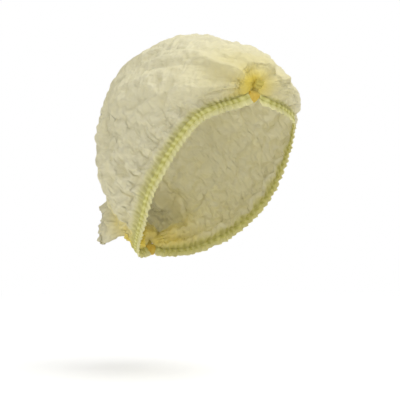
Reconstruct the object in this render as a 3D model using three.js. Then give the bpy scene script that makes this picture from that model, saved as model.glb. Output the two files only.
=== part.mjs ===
// Pleated disposable clip cap of spunbond cloth, in the form it has when worn.
// A flat strip of accordion pleats is welded at both ends into a seal, and opens
// between two elastic edges into a puffed crown with a tuft of loose cloth at the back.
// Millimetres. +Z is up, the front of the cap faces -Y and its left side is +X.
// The origin is midway between the two seals, in the opening.

import * as THREE from 'three';

// Driving sizes
const CLOTH_THICKNESS = 1.0;
const GAP = 0.3;
const SEAL_REACH = 86;
const SEAL_RISE = 71;
const BAND_WIDTH = 4.5;
const BAND_THICKNESS = 1.8;
const FRILL_WIDTH = 6.5;
const FRILL_WAVES = 50;
const FRILL_SWING = 1.6;
const GATHER_COUNT = 13;
const GATHER_HEIGHT = 1.3;

// Sides and ends of the cap
const RIGHT = -1;
const LEFT = 1;
const FRONT = -1;
const BACK = 1;

// Steps of the grids, and the small step that gives a slope along t or v
const CROWN_ROWS = 4 * GATHER_COUNT;
const CROWN_COLUMNS = 32;
const FRILL_STEPS = 4 * FRILL_WAVES;
const SLOPE_STEP = 1e-3;

// Each row is one section of the crown, from the front seal (t = 0) to the back seal (t = 1).
// top is its line on the midplane, side its widest line and edge the line of the elastic.
const SECTIONS = table(['t', 'topY', 'topZ', 'sideX', 'sideY', 'sideZ', 'edgeX', 'edgeY', 'edgeZ'], [
  [0.00, -88, 80, 6.0, -87, 76, 5.8, -SEAL_REACH, SEAL_RISE],
  [0.04, -90, 96, 30, -93, 75, 19, -83, 67],
  [0.10, -68, 111, 52, -79, 73, 36, -77, 63],
  [0.20, -31, 126, 72, -54, 66, 57, -65, 53],
  [0.35, 22, 134, 83, -23, 44, 70, -42, 25],
  [0.50, 84, 121, 86, 10, 19, 74.5, -15, -10],
  [0.65, 118, 88, 81, 43, -9, 64.5, 15, -43],
  [0.78, 118, 36, 59, 66, -33, 48, 46, -63],
  [0.88, 105, -14, 37, 79, -49, 31, 69, -72],
  [0.95, 94, -43, 19, 84, -58, 17, 81.5, -73.5],
  [1.00, 88, -62, 6.0, 87, -66, 5.8, SEAL_REACH, -SEAL_RISE],
]);

// The elastic always lies a little inside the widest line of its section
const EDGE_TO_SIDE_LIMIT = 0.98;

// Large folds and dents of the crown. v runs from -1 at the right elastic over the top to +1
// at the left one. Each row has its place, its half length along the fold and half width,
// its turn in degrees from the t direction, and its height, which is below zero for a dent.
const FOLDS = table(['t', 'v', 'halfLength', 'halfWidth', 'turn', 'height'], [
  [0.06, 0.03, 0.08, 0.12, 0, -7.0],
  [0.14, -0.24, 0.13, 0.14, 0, 4.0],
  [0.15, 0.26, 0.12, 0.14, 0, 2.5],
  [0.33, -0.52, 0.12, 0.13, 10, 4.0],
  [0.42, -0.30, 0.16, 0.07, -12, -3.5],
  [0.48, -0.62, 0.05, 0.22, 20, 3.5],
  [0.56, -0.50, 0.04, 0.20, -10, -4.0],
  [0.63, -0.66, 0.05, 0.20, 12, 4.5],
  [0.70, -0.42, 0.05, 0.18, 0, -4.5],
  [0.36, 0.48, 0.13, 0.13, -8, 3.5],
  [0.46, 0.24, 0.15, 0.08, 15, -3.5],
  [0.53, 0.60, 0.05, 0.20, -15, 4.0],
  [0.62, 0.44, 0.04, 0.22, 10, -4.5],
  [0.70, 0.66, 0.05, 0.20, -8, 4.0],
  [0.55, 0.00, 0.20, 0.07, 0, 3.0],
  [0.70, 0.14, 0.14, 0.07, 8, 3.0],
  [0.72, -0.14, 0.14, 0.07, -8, 2.5],
  [0.82, -0.50, 0.03, 0.26, 0, 4.5],
  [0.82, 0.48, 0.03, 0.24, 0, 3.5],
]);

// Where the folds end: the t of each seal's flat stretch, and the v where the elastic draws in
const FOLD_FADE = { front: 0.05, back: 0.96, elastic: 0.86 };

// Where the gathers rise from the crown and sink to the elastic across v, and along t where
// they start behind the front seal and end before the back one
const GATHER_ZONE = { rise: 0.68, full: 0.88, sink: 0.93, start: 0.04, deep: 0.14, fade: 0.80, end: 0.92 };

// Pleats that fan out of the seals
const FAN_PLEATS = 8;
const FRONT_FAN = { centre: 0.075, reach: 0.06, height: 1.4 };
const BACK_FAN = { centre: 0.90, reach: 0.07, height: 3.6 };

// Tuft at the back: where it starts and ends along t and across v, and how far it is
// pushed out to each side and back, with more push towards its lower end
const TUFT = { top: 0.855, full: 0.885, low: 0.94, end: 0.99, flat: 0.45, side: 0.86 };
const TUFT_PUSH = { out: 12, back: 28, sweep: 7 };
const TUFT_CREASE = { t: 0.86, reach: 0.018, depth: 4 };
const TUFT_CORNER = { t: 0.94, v: 0.54, reachT: 0.03, reachV: 0.13, out: 7, back: 9, drop: 14 };

// Rounded form that the elastic is drawn round, as half sizes about a centre. Its surface
// gives the bands and the frills their lie.
const ROUND_FORM = { half: new THREE.Vector3(76, 98, 130), centre: new THREE.Vector3(0, 10, 10) };

// Seal: a welded stack of pleat ends, as rows from its bottom tip to the top of its stub
const SEAL_ROWS = table(['rise', 'halfWidth', 'front', 'back'], [
  [-8.0, 1.8, 1.5, 0.8],
  [-5.0, 3.2, 2.4, 1.4],
  [-1.5, 4.8, 3.0, 1.8],
  [1.0, 4.8, 3.2, 1.8],
  [2.5, 3.2, 2.8, 1.6],
  [5.0, 3.2, 3.2, 1.2],
  [6.5, 4.2, 4.6, 0.0],
  [8.0, 4.2, 3.8, -0.3],
  [9.5, 4.2, 5.0, -0.3],
  [11.0, 4.2, 4.2, -0.3],
  [12.5, 3.8, 4.8, -0.3],
]);
const SEAL_CORNER = 0.7;
const FRONT_LEAN = 15;
const BACK_LEAN = 26;

// Looks of the materials
const LOOKS = {
  cloth: { color: 0xded8b2, roughness: 0.9 },
  band: { color: 0xb5ab62, roughness: 0.85 },
  frill: { color: 0xc9c39a, roughness: 0.9 },
  seal: { color: 0xc39a38, roughness: 0.6 },
};

// Rows of a table as objects that hold each number under its column's name
function table(columns, rows) {
  return rows.map((row) => Object.fromEntries(columns.map((name, i) => [name, row[i]])));
}

// Smooth curve through the rows of a table that never swings past them
function monotoneCurve(xs, ys) {
  const slopes = xs.slice(1).map((x, i) => (ys[i + 1] - ys[i]) / (x - xs[i]));
  const tangents = ys.map((_, i) => {
    if (i === 0) return slopes[0];
    if (i === ys.length - 1) return slopes[i - 1];
    const before = slopes[i - 1];
    const after = slopes[i];
    if (before * after <= 0) return 0;
    const left = xs[i] - xs[i - 1];
    const right = xs[i + 1] - xs[i];
    const weightBefore = 2 * right + left;
    const weightAfter = right + 2 * left;
    return (weightBefore + weightAfter) / (weightBefore / before + weightAfter / after);
  });
  return (x) => {
    let i = 0;
    while (i < xs.length - 2 && x > xs[i + 1]) i += 1;
    const step = xs[i + 1] - xs[i];
    const part = (x - xs[i]) / step;
    return hermite(ys[i], ys[i + 1], tangents[i], tangents[i + 1], part, step);
  };
}

// Cubic from a to b over a step, with the slopes at both ends
function hermite(a, b, slopeA, slopeB, part, step) {
  const rest = 1 - part;
  return a * (1 + 2 * part) * rest * rest + b * part * part * (1 + 2 * rest)
    + step * part * rest * (slopeA * rest - slopeB * part);
}

function smoothStep(from, to, x) {
  const part = Math.min(Math.max((x - from) / (to - from), 0), 1);
  return part * part * (3 - 2 * part);
}

// Hump of height 1 at x = 0 that fades over about one reach
function hump(x, reach) {
  return Math.exp(-((x / reach) ** 2));
}

const sectionAt = Object.fromEntries(Object.keys(SECTIONS[0]).map((name) => [
  name,
  monotoneCurve(SECTIONS.map((row) => row.t), SECTIONS.map((row) => row[name])),
]));

// One coordinate of a section: from the top line over the side line to the edge line
function throughGuides(top, side, edge, angle, edgeAngle) {
  const quarter = Math.PI / 2;
  const lean = Math.abs(Math.cos(edgeAngle));
  const sideSlope = ((side - top) + (edge - side) / lean) / 2;
  if (angle < quarter) return hermite(top, side, 0, sideSlope, angle / quarter, quarter);
  const edgeSlope = ((edge - side) * Math.sin(edgeAngle)) / lean;
  const step = edgeAngle - quarter;
  return hermite(side, edge, sideSlope, edgeSlope, (angle - quarter) / step, step);
}

// Smooth form of the crown before its folds. Each section is close to an ellipse.
function smoothCrown(t, v) {
  const row = Object.fromEntries(Object.entries(sectionAt).map(([name, at]) => [name, at(t)]));
  const edgeAngle = Math.PI - Math.asin(Math.min(row.edgeX / row.sideX, EDGE_TO_SIDE_LIMIT));
  const angle = Math.abs(v) * edgeAngle;
  return new THREE.Vector3(
    Math.sign(v) * row.sideX * Math.sin(angle),
    throughGuides(row.topY, row.sideY, row.edgeY, angle, edgeAngle),
    throughGuides(row.topZ, row.sideZ, row.edgeZ, angle, edgeAngle),
  );
}

// Outward normal of the smooth form
function outwardNormal(t, v) {
  const alongT = smoothCrown(t + SLOPE_STEP, v).sub(smoothCrown(t - SLOPE_STEP, v));
  const alongV = smoothCrown(t, v + SLOPE_STEP).sub(smoothCrown(t, v - SLOPE_STEP));
  return alongV.cross(alongT).normalize();
}

// Height of one fold of the table: a hump longer than it is wide, turned in the t, v plane
function foldHeight(fold, t, v) {
  const angle = THREE.MathUtils.degToRad(fold.turn);
  const stepT = t - fold.t;
  const stepV = (v - fold.v) / 2;
  const along = stepT * Math.cos(angle) + stepV * Math.sin(angle);
  const across = stepV * Math.cos(angle) - stepT * Math.sin(angle);
  return fold.height * hump(along, fold.halfLength) * hump(across, fold.halfWidth / 2);
}

function foldRelief(t, v) {
  return FOLDS.reduce((sum, fold) => sum + foldHeight(fold, t, v), 0);
}

// Pleats that run out of a seal like the ribs of a fan
function fanRelief(fan, t, v) {
  return -fan.height * hump(t - fan.centre, fan.reach) * Math.cos(FAN_PLEATS * Math.PI * v);
}

// Gathers above the elastic, flat at the elastic itself
function gatherRelief(t, v) {
  const zone = GATHER_ZONE;
  const across = smoothStep(zone.rise, zone.full, Math.abs(v)) * (1 - smoothStep(zone.sink, 1, Math.abs(v)));
  const along = smoothStep(zone.start, zone.deep, t) * (1 - smoothStep(zone.fade, zone.end, t));
  return GATHER_HEIGHT * across * along * Math.sin(2 * Math.PI * GATHER_COUNT * t);
}

function tuftShare(t, v) {
  const alongT = smoothStep(TUFT.top, TUFT.full, t) * (1 - smoothStep(TUFT.low, TUFT.end, t));
  return alongT * (1 - smoothStep(TUFT.flat, TUFT.side, Math.abs(v)));
}

function tuftOffset(t, v) {
  const share = tuftShare(t, v);
  const spread = THREE.MathUtils.clamp(v / TUFT.flat, -1, 1);
  const sweep = TUFT_PUSH.sweep * smoothStep(TUFT.full, TUFT.low, t);
  const corner = hump(t - TUFT_CORNER.t, TUFT_CORNER.reachT)
    * hump(Math.abs(v) - TUFT_CORNER.v, TUFT_CORNER.reachV);
  return new THREE.Vector3(
    TUFT_PUSH.out * spread * share + TUFT_CORNER.out * Math.sign(v) * corner,
    (TUFT_PUSH.back + sweep) * share + TUFT_CORNER.back * corner,
    -TUFT_CORNER.drop * corner,
  );
}

function creaseRelief(t, v) {
  const across = 1 - smoothStep(TUFT.flat, 1, Math.abs(v));
  return -TUFT_CREASE.depth * across * hump(t - TUFT_CREASE.t, TUFT_CREASE.reach);
}

// Outer surface of the crown with its folds. The relief fades at the seals and at the elastic.
function foldedCrown(t, v) {
  const fade = smoothStep(0, FOLD_FADE.front, t) * (1 - smoothStep(FOLD_FADE.back, 1, t))
    * (1 - smoothStep(FOLD_FADE.elastic, 1, Math.abs(v)));
  const fans = fanRelief(FRONT_FAN, t, v) + fanRelief(BACK_FAN, t, v);
  const relief = fade * (foldRelief(t, v) + fans + creaseRelief(t, v)) + gatherRelief(t, v);
  return smoothCrown(t, v)
    .addScaledVector(outwardNormal(t, v), relief)
    .add(tuftOffset(t, v));
}

// Grid of points, rows by columns
function pointGrid(rows, columns, place) {
  return Array.from({ length: rows + 1 }, (_, i) => (
    Array.from({ length: columns + 1 }, (__, j) => place(i / rows, j / columns))
  ));
}

// Unit normals of a grid of points, from its neighbours along both directions
function gridNormals(grid) {
  const lastRow = grid.length - 1;
  const lastColumn = grid[0].length - 1;
  return grid.map((row, i) => row.map((_, j) => {
    const alongRows = grid[Math.min(i + 1, lastRow)][j].clone().sub(grid[Math.max(i - 1, 0)][j]);
    const alongColumns = row[Math.min(j + 1, lastColumn)].clone().sub(row[Math.max(j - 1, 0)]);
    return alongColumns.cross(alongRows).normalize();
  }));
}

// Closed wall from an outer grid of points and an inner one, joined round the rim
function wallGeometry(outer, inner) {
  const columns = outer[0].length;
  const lastRow = outer.length - 1;
  const lastColumn = columns - 1;
  const points = [...outer.flat(), ...inner.flat()];
  const outside = (i, j) => i * columns + j;
  const inside = (i, j) => outer.length * columns + outside(i, j);
  const faces = [];
  const quad = (a, b, c, d) => faces.push(a, b, c, a, c, d);
  for (let i = 0; i < lastRow; i += 1) {
    for (let j = 0; j < lastColumn; j += 1) {
      quad(outside(i, j), outside(i, j + 1), outside(i + 1, j + 1), outside(i + 1, j));
      quad(inside(i, j), inside(i + 1, j), inside(i + 1, j + 1), inside(i, j + 1));
    }
  }
  // Rim: from the outer grid to the inner one along one edge of both
  const rim = (start, end) => quad(outside(...start), inside(...start), inside(...end), outside(...end));
  for (let i = 0; i < lastRow; i += 1) {
    rim([i + 1, 0], [i, 0]);
    rim([i, lastColumn], [i + 1, lastColumn]);
  }
  for (let j = 0; j < lastColumn; j += 1) {
    rim([0, j], [0, j + 1]);
    rim([lastRow, j + 1], [lastRow, j]);
  }
  return geometryFrom(points, faces);
}

// Closed solid from rings of points, each ring anticlockwise seen from its far end
function ringGeometry(rings) {
  const sides = rings[0].length;
  const faces = [];
  for (let i = 0; i < rings.length - 1; i += 1) {
    for (let j = 0; j < sides; j += 1) {
      const here = i * sides + j;
      const next = i * sides + ((j + 1) % sides);
      faces.push(here, next, next + sides, here, next + sides, here + sides);
    }
  }
  const last = (rings.length - 1) * sides;
  for (let j = 1; j < sides - 1; j += 1) {
    faces.push(0, j + 1, j);
    faces.push(last, last + j, last + j + 1);
  }
  return geometryFrom(rings.flat(), faces);
}

function geometryFrom(points, faces) {
  const geometry = new THREE.BufferGeometry();
  const places = points.flatMap((point) => point.toArray());
  geometry.setAttribute('position', new THREE.Float32BufferAttribute(places, 3));
  geometry.setIndex(faces);
  geometry.computeVertexNormals();
  return geometry;
}

function namedMesh(name, geometry, look) {
  const material = new THREE.MeshStandardMaterial({ ...look, metalness: 0, side: THREE.DoubleSide });
  const mesh = new THREE.Mesh(geometry, material);
  mesh.name = name;
  return mesh;
}

// Cloth wall of the crown, whose rim is square to the elastic bands
function crown() {
  const outer = pointGrid(CROWN_ROWS, CROWN_COLUMNS, (t, part) => foldedCrown(t, 2 * part - 1));
  const normals = gridNormals(outer);
  normals.forEach((row, i) => {
    row[0] = edgeFrame(RIGHT, i / CROWN_ROWS).outward;
    row[CROWN_COLUMNS] = edgeFrame(LEFT, i / CROWN_ROWS).outward;
  });
  const inner = outer.map((row, i) => row.map((point, j) => (
    point.clone().addScaledVector(normals[i][j], -CLOTH_THICKNESS)
  )));
  return namedMesh('crown', wallGeometry(outer, inner), LOOKS.cloth);
}

// Frame of one elastic edge at t: its point, the way outward and the way down off the crown
function edgeFrame(side, t) {
  const point = smoothCrown(t, side);
  const along = smoothCrown(t + SLOPE_STEP, side).sub(smoothCrown(t - SLOPE_STEP, side)).normalize();
  const outward = point.clone().sub(ROUND_FORM.centre).divide(ROUND_FORM.half).divide(ROUND_FORM.half);
  outward.addScaledVector(along, -outward.dot(along)).normalize();
  const down = along.clone().cross(outward).multiplyScalar(side);
  return { point, down, outward };
}

// Point beside an elastic edge, so far down off the crown and so far outward
function besideEdge(frame, down, outward) {
  return frame.point.clone().addScaledVector(frame.down, down).addScaledVector(frame.outward, outward);
}

// Elastic band with a six-sided section, under the rim of the crown
function elasticBand(side, name) {
  const middle = GAP + BAND_WIDTH / 2;
  const inset = -CLOTH_THICKNESS / 2;
  const halfWidth = BAND_WIDTH / 2;
  const halfThickness = BAND_THICKNESS / 2;
  const section = [
    [-halfWidth, -halfThickness / 2],
    [0, -halfThickness],
    [halfWidth, -halfThickness / 2],
    [halfWidth, halfThickness / 2],
    [0, halfThickness],
    [-halfWidth, halfThickness / 2],
  ];
  const ordered = side > 0 ? section.toReversed() : section;
  const rings = Array.from({ length: CROWN_ROWS + 1 }, (_, i) => {
    const frame = edgeFrame(side, i / CROWN_ROWS);
    return ordered.map(([down, outward]) => besideEdge(frame, middle + down, inset + outward));
  });
  return namedMesh(name, ringGeometry(rings), LOOKS.band);
}

// Ruffled hem below the band: a thin wall that swings in and out, more so at its free edge
function frill(side, name) {
  const start = 2 * GAP + BAND_WIDTH;
  const wallGrid = (depth) => pointGrid(FRILL_STEPS, 1, (t, width) => {
    const swing = FRILL_SWING * width * Math.sin(2 * Math.PI * FRILL_WAVES * t);
    return besideEdge(edgeFrame(side, t), start + FRILL_WIDTH * width, swing - depth);
  });
  const walls = [wallGrid(0), wallGrid(CLOTH_THICKNESS)];
  const [outer, inner] = side > 0 ? walls : walls.toReversed();
  return namedMesh(name, wallGeometry(outer, inner), LOOKS.frill);
}

// Ring of the seal at one row: a rectangle with cut corners
function sealRing({ rise, halfWidth, front, back }) {
  const cut = SEAL_CORNER;
  return [
    [-halfWidth + cut, -front],
    [halfWidth - cut, -front],
    [halfWidth, -front + cut],
    [halfWidth, back - cut / 2],
    [halfWidth - cut, back],
    [-halfWidth + cut, back],
    [-halfWidth, back - cut / 2],
    [-halfWidth, -front + cut],
  ].map(([x, y]) => new THREE.Vector3(x, y, rise));
}

// Seal that leans outward over the end of the crown, turned to face its own end of the cap
function seal(name, end, lean) {
  const mesh = namedMesh(name, ringGeometry(SEAL_ROWS.map(sealRing)), LOOKS.seal);
  mesh.position.set(0, end * SEAL_REACH, -end * SEAL_RISE);
  mesh.rotation.set(THREE.MathUtils.degToRad(lean), 0, end > 0 ? Math.PI : 0, 'ZYX');
  return mesh;
}

const group = new THREE.Group();
group.add(
  crown(),
  elasticBand(RIGHT, 'right_elastic_band'),
  elasticBand(LEFT, 'left_elastic_band'),
  frill(RIGHT, 'right_frill'),
  frill(LEFT, 'left_frill'),
  seal('front_seal', FRONT, FRONT_LEAN),
  seal('back_seal', BACK, BACK_LEAN),
);

export default group;
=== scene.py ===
import bpy
import numpy as np
from mathutils import Matrix, Vector


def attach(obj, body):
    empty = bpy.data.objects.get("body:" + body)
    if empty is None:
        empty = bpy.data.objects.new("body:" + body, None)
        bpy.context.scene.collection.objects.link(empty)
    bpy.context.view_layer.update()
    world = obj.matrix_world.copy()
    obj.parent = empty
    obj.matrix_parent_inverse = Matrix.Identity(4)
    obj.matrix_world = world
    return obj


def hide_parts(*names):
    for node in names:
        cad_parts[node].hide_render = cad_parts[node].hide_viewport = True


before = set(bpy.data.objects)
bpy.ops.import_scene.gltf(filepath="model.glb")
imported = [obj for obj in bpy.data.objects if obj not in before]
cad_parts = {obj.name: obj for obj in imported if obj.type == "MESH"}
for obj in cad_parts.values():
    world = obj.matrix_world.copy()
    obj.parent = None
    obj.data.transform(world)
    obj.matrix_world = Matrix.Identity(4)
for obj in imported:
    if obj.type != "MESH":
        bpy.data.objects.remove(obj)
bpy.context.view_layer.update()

# Looks of a pleated disposable clip cap of pale yellow nonwoven cloth, in the form it has when worn.
# Sizes are millimetres until a mesh is made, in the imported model's frame: +Z up, the front faces -Y.
# A place on the crown is given by t, from the front seal at 0 to the back seal at 1, and by v, from the right
# elastic at -1 over the top to the left elastic at 1.

MM = 0.001


def table(columns, rows):
    """Rows of numbers with named columns."""
    return np.array([tuple(row) for row in rows], dtype=[(name, float) for name in columns.split()])


# Driving sizes, the same as the solid model's
SEAL_REACH, SEAL_RISE = 86.0, 71.0
GAP = 0.3
BAND_WIDTH, BAND_THICKNESS = 4.5, 1.8
FRONT_LEAN, BACK_LEAN = 15, 26
# The hem is narrower than the solid model's, and only here is the front seal tilted sideways, in degrees
HEM_WIDTH = 5.0
FRONT_TILT = -9

# A real strip of cloth for this form is 0.42 m wide or more. The width is less here so that the modelled cloth
# covers enough of the cut. The thickness that the sheets are given
CLOTH_THICKNESS, HEM_THICKNESS = 0.25, 0.3

# One section of the crown a row: its top line, its widest line and its elastic
SECTIONS = table("t top_y top_z side_x side_y side_z edge_x edge_y edge_z", [
    [0.00, -88, 80, 6.0, -87, 76, 5.8, -SEAL_REACH, SEAL_RISE],
    [0.04, -90, 96, 30, -93, 75, 19, -83, 67],
    [0.10, -68, 111, 52, -79, 73, 36, -77, 63],
    [0.20, -31, 126, 72, -54, 66, 57, -65, 53],
    [0.35, 22, 134, 83, -23, 44, 70, -42, 25],
    [0.50, 84, 121, 86, 10, 19, 74.5, -15, -10],
    [0.65, 118, 88, 81, 43, -9, 64.5, 15, -43],
    [0.78, 118, 36, 59, 66, -33, 48, 46, -63],
    [0.88, 105, -14, 37, 79, -49, 31, 69, -72],
    [0.95, 94, -43, 19, 84, -58, 17, 81.5, -73.5],
    [1.00, 88, -62, 6.0, 87, -66, 5.8, SEAL_REACH, -SEAL_RISE],
])
EDGE_TO_SIDE_LIMIT = 0.98

# Large folds and dents, the same as the solid model's
FOLDS = table("t v half_length half_width turn height", [
    [0.06, 0.03, 0.08, 0.12, 0, -7.0],
    [0.14, -0.24, 0.13, 0.14, 0, 4.0],
    [0.15, 0.26, 0.12, 0.14, 0, 2.5],
    [0.33, -0.52, 0.12, 0.13, 10, 4.0],
    [0.42, -0.30, 0.16, 0.07, -12, -3.5],
    [0.48, -0.62, 0.05, 0.22, 20, 3.5],
    [0.56, -0.50, 0.04, 0.20, -10, -4.0],
    [0.63, -0.66, 0.05, 0.20, 12, 4.5],
    [0.70, -0.42, 0.05, 0.18, 0, -4.5],
    [0.36, 0.48, 0.13, 0.13, -8, 3.5],
    [0.46, 0.24, 0.15, 0.08, 15, -3.5],
    [0.53, 0.60, 0.05, 0.20, -15, 4.0],
    [0.62, 0.44, 0.04, 0.22, 10, -4.5],
    [0.70, 0.66, 0.05, 0.20, -8, 4.0],
    [0.55, 0.00, 0.20, 0.07, 0, 3.0],
    [0.70, 0.14, 0.14, 0.07, 8, 3.0],
    [0.72, -0.14, 0.14, 0.07, -8, 2.5],
    [0.82, -0.50, 0.03, 0.26, 0, 4.5],
    [0.82, 0.48, 0.03, 0.24, 0, 3.5],
])
# Small ridges, pits and arcs that the solid model leaves out
CREASES = table("t v half_length half_width turn height", [
    [0.168, -0.63, 0.055, 0.17, 0, 2.6],
    [0.168, 0.60, 0.050, 0.16, 8, 2.6],
    [0.232, -0.60, 0.014, 0.16, 30, -2.4],
    [0.505, -0.63, 0.014, 0.050, 0, -4.5],
    [0.537, -0.79, 0.014, 0.050, 20, -4.0],
    [0.277, -0.515, 0.020, 0.040, 30, -3.2],
    [0.300, -0.33, 0.070, 0.022, -4, 1.6],
    [0.300, -0.40, 0.080, 0.026, -6, -1.8],
    [0.300, -0.63, 0.090, 0.024, -3, 2.0],
    [0.360, -0.69, 0.070, 0.024, 32, 1.8],
    [0.415, -0.55, 0.020, 0.024, 30, 1.5],
    [0.110, -0.43, 0.070, 0.035, 22, -1.8],
    [0.130, -0.34, 0.080, 0.030, 22, 1.8],
    [0.120, 0.40, 0.070, 0.040, -22, -1.8],
    [0.060, 0.30, 0.050, 0.090, 0, -5.0],
    [0.050, 0.44, 0.030, 0.050, -30, 2.4],
    [0.470, 0.55, 0.018, 0.060, 0, -4.0],
    [0.330, 0.62, 0.080, 0.030, 6, 2.0],
    [0.390, 0.75, 0.060, 0.035, -30, 2.0],
    [0.590, 0.30, 0.050, 0.040, 30, -2.4],
    [0.640, -0.20, 0.050, 0.040, -25, -2.4],
    [0.060, 0.03, 0.070, 0.120, 0, 6.0],
    [0.072, -0.10, 0.022, 0.300, 0, 3.5],
    [0.105, -0.375, 0.080, 0.090, 25, 2.8],
    [0.130, -0.220, 0.110, 0.130, 0, -2.5],
])
FOLD_FADE = dict(front=0.05, back=0.96, elastic=0.86)
GATHER_ZONE = dict(rise=0.68, full=0.88, sink=0.93, start=0.04, deep=0.14, fade=0.80, end=0.92)
GATHER_COUNT, GATHER_HEIGHT = 13, 1.3
FAN_PLEATS = 8
FRONT_FAN = dict(centre=0.075, reach=0.06, height=1.4)
BACK_FAN = dict(centre=0.90, reach=0.07, height=3.6)
TUFT = dict(top=0.855, full=0.885, low=0.94, end=0.99, flat=0.45, side=0.86)
TUFT_PUSH = dict(out=12, back=28, sweep=7)
TUFT_CREASE = dict(t=0.86, reach=0.018, depth=4)
TUFT_CORNER = dict(t=0.94, v=0.54, reach_t=0.03, reach_v=0.13, out=7, back=9, drop=14)

# The round form that gives the way outward at the elastics: half its size each way, and its middle
ROUND_FORM_HALF = np.array([76.0, 98.0, 130.0])
ROUND_FORM_CENTRE = np.array([0.0, 10.0, 10.0])

# Crumpling: rows and columns of the first grid, and how far the cloth is drawn in before it buckles. Then one
# row a level of fineness: the cells of its noise, the cloth's spare length over the top and at the sides, the
# first heights, the rounds, and how strongly it is held to the level before and smoothed
COARSE_ROWS, COARSE_COLUMNS = 75, 37
DRAWN_IN = 2.6
LEVELS = table("cells_t cells_v spare_top spare_side height rounds hold smoothing", [
    [13, 10, 0.009, 0.014, 1.0, 140, 0.006, 0.06],
    [30, 24, 0.026, 0.028, 1.0, 120, 0.002, 0.035],
    [70, 60, 0.056, 0.098, 0.9, 80, 0.002, 0.008],
])
TUFT_SPARE, LOW_SPARE = 0.03, 0.6
CREASE_LEVEL = 1
LEAST_FREE = 1e-6
# Where the crumpling starts, is full, fades and ends: along t for four numbers, across abs(v) for two
CRUMPLE_ZONES = dict(
    ends=(0.0, 0.04, 0.975, 1),
    edge=(0.93, 0.995),
    side=(0.2, 0.6),
    low=(0.6, 0.95),
    low_along=(0.02, 0.1, 0.85, 0.97),
    tuft=(0.84, 0.9),
)
THREADS = [(way, start) for start in (0, 1) for way in ("along", "across", "rising", "falling")]

# First heights that the folds grow from: shares of the crests, streaks, slants and rucks, and their zones
CREST_HEIGHT, CREST_SLOPE = 0.8, 2.4
FIRST_HEIGHTS = dict(
    crests=0.8,
    crests_less_at_side=0.4,
    streaks_less_at_side=0.8,
    streak_turn=14,
    slants=1.3,
    slant_turn=42,
    slants_finer=1.4,
    rucks=1.2,
    side=(0.35, 0.75),
    fan=(0.01, 0.06, 0.12, 0.45),
    tuft=(0.84, 0.88, 0.97, 1.0),
)
FIRST_SEEDS = dict(crests=11, streaks=21, slants=(31, 36), fan=41, rucks=51)
FAN_CELLS, RUCK_CELLS = (4, 34), (40, 16)
# How much a turned noise's lattice is shrunk so that it still covers the cloth
TURNED_SHRINK = 0.7
# Spacing of the crown's columns: wider in the middle and closer at the elastic. Then the step for its slopes
GRID_CROWDING = dict(middle=1.15, edge=0.15)
SLOPE_STEP = 1e-3

# Noises by name: cells along t and across v, and the seed
NOISES = dict(
    rib_wander=(23, 1, 5),
    rib_start=(41, 1, 81),
    pleat_wander=(5, 9, 61),
    pleat_patches=(8, 18, 62),
    rucks=(3, 8, 71),
    band=(97, 1, 91),
    hem=(101, 1, 101),
    hem_slow=(37, 1, 37),
)

# Pleat lines that stay in the cloth, short ribs at the elastic and rucks in the tuft
PLEATS, PLEAT_HEIGHT, FAN_PLEAT_HEIGHT = 37, 0.30, 0.5
PLEAT_LINES = dict(
    wander=0.5,
    patches=(-0.2, 0.5),
    all_over=0.4,
    front=(0.02, 0.06, 0.30, 0.65),
    front_fan=(0.0, 0.03, 0.05, 0.26),
    front_share=0.6,
    back_fan=(0.84, 0.90, 0.97, 1),
    back_share=2.4,
    even=(0.85, 0.95),
)
RIBS, RIB_HEIGHT, RIB_WANDER = 45, 0.7, 0.35
RIB_ZONE = dict(start=0.970, wander=0.012, full=0.985, ends=(0.02, 0.08, 0.93, 0.99))
RUCKS, RUCK_HEIGHT, RUCK_WANDER = 75, 1.3, 0.8
# Shape of the tuft in the look: drawn in, its top edge lower and a small point at its lower corners
TUFT_DRAWN_IN = dict(out=3.5, back=5.0, top_drop=6.5, top=(0.885, 0.925))
TUFT_POINT = dict(t=0.943, v=0.58, reach_t=0.012, reach_v=0.07, drop=5.0, back=1.0)
# The front seal and the cloth round it are pulled a little to the right side
PULLED_ASIDE = dict(shift=10.5, reach=32)
# The two smooth puffs beside the front
PUFF = dict(t=0.17, v=0.62, reach_t=0.08, reach_v=0.22, calm=0.7)
# How far the crown's closing column is tucked down and in under the elastic
TUCK = dict(down=1.2, inward=1.0)

# Elastic edge: its grid, its ribs' slant and height, their unevenness, and how far its middle lies inwards
BAND = dict(steps=752, around=14, margin=0.002, inward=0.3)
BAND_RIBS = dict(slant=0.9, height=0.38, least=0.8, uneven=0.3, swell=0.08)
# Hem: its grid, how its swing grows towards the free edge, its waves, its slip along the edge and its width
FRILL_GRID = dict(steps=1128, across=9, margin=0.001)
FRILL_FLARE = dict(start=0.45, gain=0.55)
FRILL_SWING = dict(least=0.85, uneven=0.3, drift=0.5, second=0.25, second_turn=1.1, slow=0.9, inward=0.4)
FRILL_SLIP = dict(height=0.4, turn=0.6)
FRILL_WIDTH = dict(overlap=0.6, uneven=0.07, slow=0.06)

# Seal, from its bottom tip to the top of its stub: rise from the elastic line, half width, front and back
SEAL_ROWS = table("rise half_width front back", [
    [-8.5, 2.0, 1.6, 0.8],
    [-6.0, 4.2, 2.2, 1.4],
    [-2.5, 6.0, 2.8, 1.8],
    [0.5, 5.8, 3.2, 1.8],
    [2.8, 2.6, 2.6, 1.6],
    [5.0, 2.6, 3.0, 1.2],
    [6.5, 4.2, 4.6, 0.0],
    [8.0, 4.2, 3.8, -0.3],
    [9.5, 4.2, 5.0, -0.3],
    [11.0, 4.2, 4.2, -0.3],
    [12.5, 3.8, 4.8, -0.3],
])

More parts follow.
